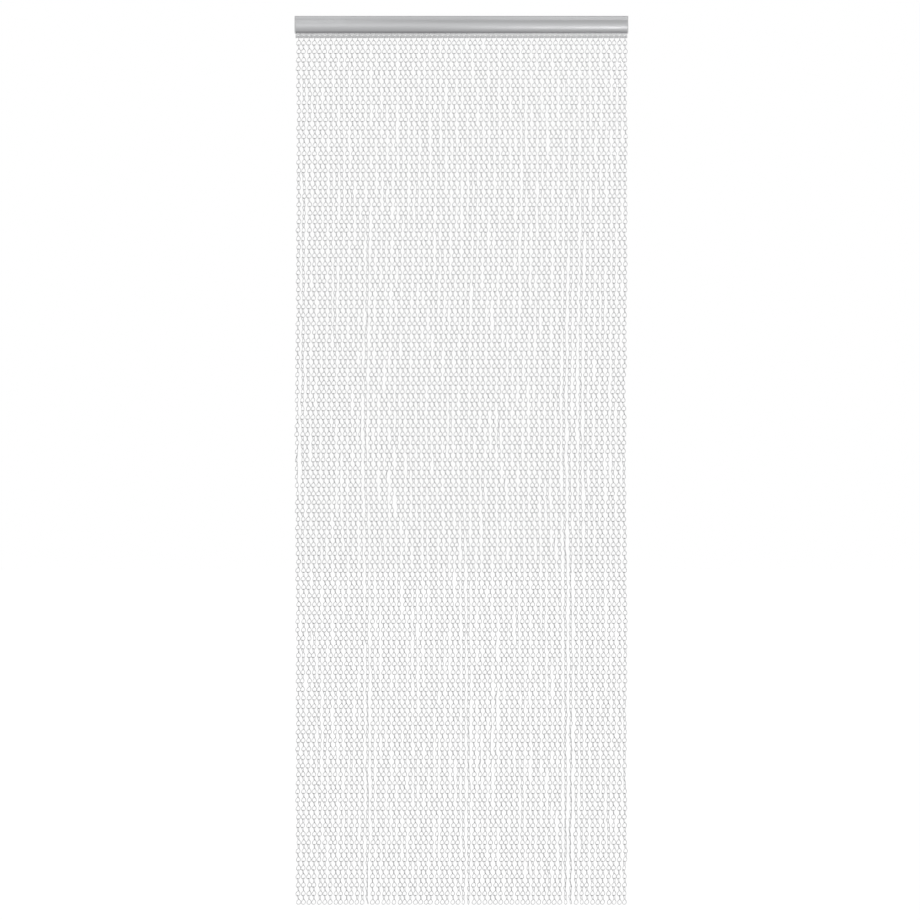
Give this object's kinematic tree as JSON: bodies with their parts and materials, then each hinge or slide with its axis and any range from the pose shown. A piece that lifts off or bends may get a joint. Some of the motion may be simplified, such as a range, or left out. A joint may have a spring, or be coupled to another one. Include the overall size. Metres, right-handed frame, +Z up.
{
  "type": "chain fly curtain",
  "caption": "Door curtain of free-hanging aluminium wire chains on a slim wall rail: lets people walk through and keeps flies out.",
  "frame": {"origin": "midway between the two wall screw holes, on the back face of the rail that lies on the wall", "axes": "+X along the rail, +Y into the wall (the front faces -Y), +Z up"},
  "size_m": [0.8, 0.027, 2.1317],
  "materials": {
    "rail_aluminium": "satin anodised",
    "cap_plastic": "matte",
    "clip_plastic": "matte",
    "chain_aluminium": "bright drawn wire"
  },
  "bodies": {
    "rail": {"rail_track": "rail_aluminium", "rail_cover": "rail_aluminium", "end_cap_left": "cap_plastic", "end_cap_right": "cap_plastic", "hanger_clips": "clip_plastic"},
    "pair_01": {"chain_pair_01": "chain_aluminium"},
    "pair_02": {"chain_pair_02": "chain_aluminium"},
    "pair_03": {"chain_pair_03": "chain_aluminium"},
    "pair_04": {"chain_pair_04": "chain_aluminium"},
    "pair_05": {"chain_pair_05": "chain_aluminium"},
    "pair_06": {"chain_pair_06": "chain_aluminium"},
    "pair_07": {"chain_pair_07": "chain_aluminium"},
    "pair_08": {"chain_pair_08": "chain_aluminium"},
    "pair_09": {"chain_pair_09": "chain_aluminium"},
    "pair_10": {"chain_pair_10": "chain_aluminium"},
    "pair_11": {"chain_pair_11": "chain_aluminium"},
    "pair_12": {"chain_pair_12": "chain_aluminium"},
    "pair_13": {"chain_pair_13": "chain_aluminium"},
    "pair_14": {"chain_pair_14": "chain_aluminium"},
    "pair_15": {"chain_pair_15": "chain_aluminium"},
    "pair_16": {"chain_pair_16": "chain_aluminium"},
    "pair_17": {"chain_pair_17": "chain_aluminium"},
    "pair_18": {"chain_pair_18": "chain_aluminium"},
    "pair_19": {"chain_pair_19": "chain_aluminium"},
    "pair_20": {"chain_pair_20": "chain_aluminium"},
    "pair_21": {"chain_pair_21": "chain_aluminium"},
    "pair_22": {"chain_pair_22": "chain_aluminium"},
    "pair_23": {"chain_pair_23": "chain_aluminium"},
    "pair_24": {"chain_pair_24": "chain_aluminium"},
    "pair_25": {"chain_pair_25": "chain_aluminium"},
    "pair_26": {"chain_pair_26": "chain_aluminium"},
    "pair_27": {"chain_pair_27": "chain_aluminium"},
    "pair_28": {"chain_pair_28": "chain_aluminium"},
    "pair_29": {"chain_pair_29": "chain_aluminium"},
    "pair_30": {"chain_pair_30": "chain_aluminium"},
    "pair_31": {"chain_pair_31": "chain_aluminium"}
  },
  "joints": [
    {"name": "swing_01", "type": "hinge", "parent": "rail", "child": "pair_01", "pos_m": [-0.3852, -0.012, -0.0294], "axis": [1, 0, 0], "range_deg": [-75, 75]},
    {"name": "swing_02", "type": "hinge", "parent": "rail", "child": "pair_02", "pos_m": [-0.35952, -0.012, -0.0294], "axis": [1, 0, 0], "range_deg": [-75, 75]},
    {"name": "swing_03", "type": "hinge", "parent": "rail", "child": "pair_03", "pos_m": [-0.33384, -0.012, -0.0294], "axis": [1, 0, 0], "range_deg": [-75, 75]},
    {"name": "swing_04", "type": "hinge", "parent": "rail", "child": "pair_04", "pos_m": [-0.30816, -0.012, -0.0294], "axis": [1, 0, 0], "range_deg": [-75, 75]},
    {"name": "swing_05", "type": "hinge", "parent": "rail", "child": "pair_05", "pos_m": [-0.28248, -0.012, -0.0294], "axis": [1, 0, 0], "range_deg": [-75, 75]},
    {"name": "swing_06", "type": "hinge", "parent": "rail", "child": "pair_06", "pos_m": [-0.2568, -0.012, -0.0294], "axis": [1, 0, 0], "range_deg": [-75, 75]},
    {"name": "swing_07", "type": "hinge", "parent": "rail", "child": "pair_07", "pos_m": [-0.23112, -0.012, -0.0294], "axis": [1, 0, 0], "range_deg": [-75, 75]},
    {"name": "swing_08", "type": "hinge", "parent": "rail", "child": "pair_08", "pos_m": [-0.20544, -0.012, -0.0294], "axis": [1, 0, 0], "range_deg": [-75, 75]},
    {"name": "swing_09", "type": "hinge", "parent": "rail", "child": "pair_09", "pos_m": [-0.17976, -0.012, -0.0294], "axis": [1, 0, 0], "range_deg": [-75, 75]},
    {"name": "swing_10", "type": "hinge", "parent": "rail", "child": "pair_10", "pos_m": [-0.15408, -0.012, -0.0294], "axis": [1, 0, 0], "range_deg": [-75, 75]},
    {"name": "swing_11", "type": "hinge", "parent": "rail", "child": "pair_11", "pos_m": [-0.1284, -0.012, -0.0294], "axis": [1, 0, 0], "range_deg": [-75, 75]},
    {"name": "swing_12", "type": "hinge", "parent": "rail", "child": "pair_12", "pos_m": [-0.10272, -0.012, -0.0294], "axis": [1, 0, 0], "range_deg": [-75, 75]},
    {"name": "swing_13", "type": "hinge", "parent": "rail", "child": "pair_13", "pos_m": [-0.07704, -0.012, -0.0294], "axis": [1, 0, 0], "range_deg": [-75, 75]},
    {"name": "swing_14", "type": "hinge", "parent": "rail", "child": "pair_14", "pos_m": [-0.05136, -0.012, -0.0294], "axis": [1, 0, 0], "range_deg": [-75, 75]},
    {"name": "swing_15", "type": "hinge", "parent": "rail", "child": "pair_15", "pos_m": [-0.02568, -0.012, -0.0294], "axis": [1, 0, 0], "range_deg": [-75, 75]},
    {"name": "swing_16", "type": "hinge", "parent": "rail", "child": "pair_16", "pos_m": [0, -0.012, -0.0294], "axis": [1, 0, 0], "range_deg": [-75, 75]},
    {"name": "swing_17", "type": "hinge", "parent": "rail", "child": "pair_17", "pos_m": [0.02568, -0.012, -0.0294], "axis": [1, 0, 0], "range_deg": [-75, 75]},
    {"name": "swing_18", "type": "hinge", "parent": "rail", "child": "pair_18", "pos_m": [0.05136, -0.012, -0.0294], "axis": [1, 0, 0], "range_deg": [-75, 75]},
    {"name": "swing_19", "type": "hinge", "parent": "rail", "child": "pair_19", "pos_m": [0.07704, -0.012, -0.0294], "axis": [1, 0, 0], "range_deg": [-75, 75]},
    {"name": "swing_20", "type": "hinge", "parent": "rail", "child": "pair_20", "pos_m": [0.10272, -0.012, -0.0294], "axis": [1, 0, 0], "range_deg": [-75, 75]},
    {"name": "swing_21", "type": "hinge", "parent": "rail", "child": "pair_21", "pos_m": [0.1284, -0.012, -0.0294], "axis": [1, 0, 0], "range_deg": [-75, 75]},
    {"name": "swing_22", "type": "hinge", "parent": "rail", "child": "pair_22", "pos_m": [0.15408, -0.012, -0.0294], "axis": [1, 0, 0], "range_deg": [-75, 75]},
    {"name": "swing_23", "type": "hinge", "parent": "rail", "child": "pair_23", "pos_m": [0.17976, -0.012, -0.0294], "axis": [1, 0, 0], "range_deg": [-75, 75]},
    {"name": "swing_24", "type": "hinge", "parent": "rail", "child": "pair_24", "pos_m": [0.20544, -0.012, -0.0294], "axis": [1, 0, 0], "range_deg": [-75, 75]},
    {"name": "swing_25", "type": "hinge", "parent": "rail", "child": "pair_25", "pos_m": [0.23112, -0.012, -0.0294], "axis": [1, 0, 0], "range_deg": [-75, 75]},
    {"name": "swing_26", "type": "hinge", "parent": "rail", "child": "pair_26", "pos_m": [0.2568, -0.012, -0.0294], "axis": [1, 0, 0], "range_deg": [-75, 75]},
    {"name": "swing_27", "type": "hinge", "parent": "rail", "child": "pair_27", "pos_m": [0.28248, -0.012, -0.0294], "axis": [1, 0, 0], "range_deg": [-75, 75]},
    {"name": "swing_28", "type": "hinge", "parent": "rail", "child": "pair_28", "pos_m": [0.30816, -0.012, -0.0294], "axis": [1, 0, 0], "range_deg": [-75, 75]},
    {"name": "swing_29", "type": "hinge", "parent": "rail", "child": "pair_29", "pos_m": [0.33384, -0.012, -0.0294], "axis": [1, 0, 0], "range_deg": [-75, 75]},
    {"name": "swing_30", "type": "hinge", "parent": "rail", "child": "pair_30", "pos_m": [0.35952, -0.012, -0.0294], "axis": [1, 0, 0], "range_deg": [-75, 75]},
    {"name": "swing_31", "type": "hinge", "parent": "rail", "child": "pair_31", "pos_m": [0.3852, -0.012, -0.0294], "axis": [1, 0, 0], "range_deg": [-75, 75]}
  ]
}
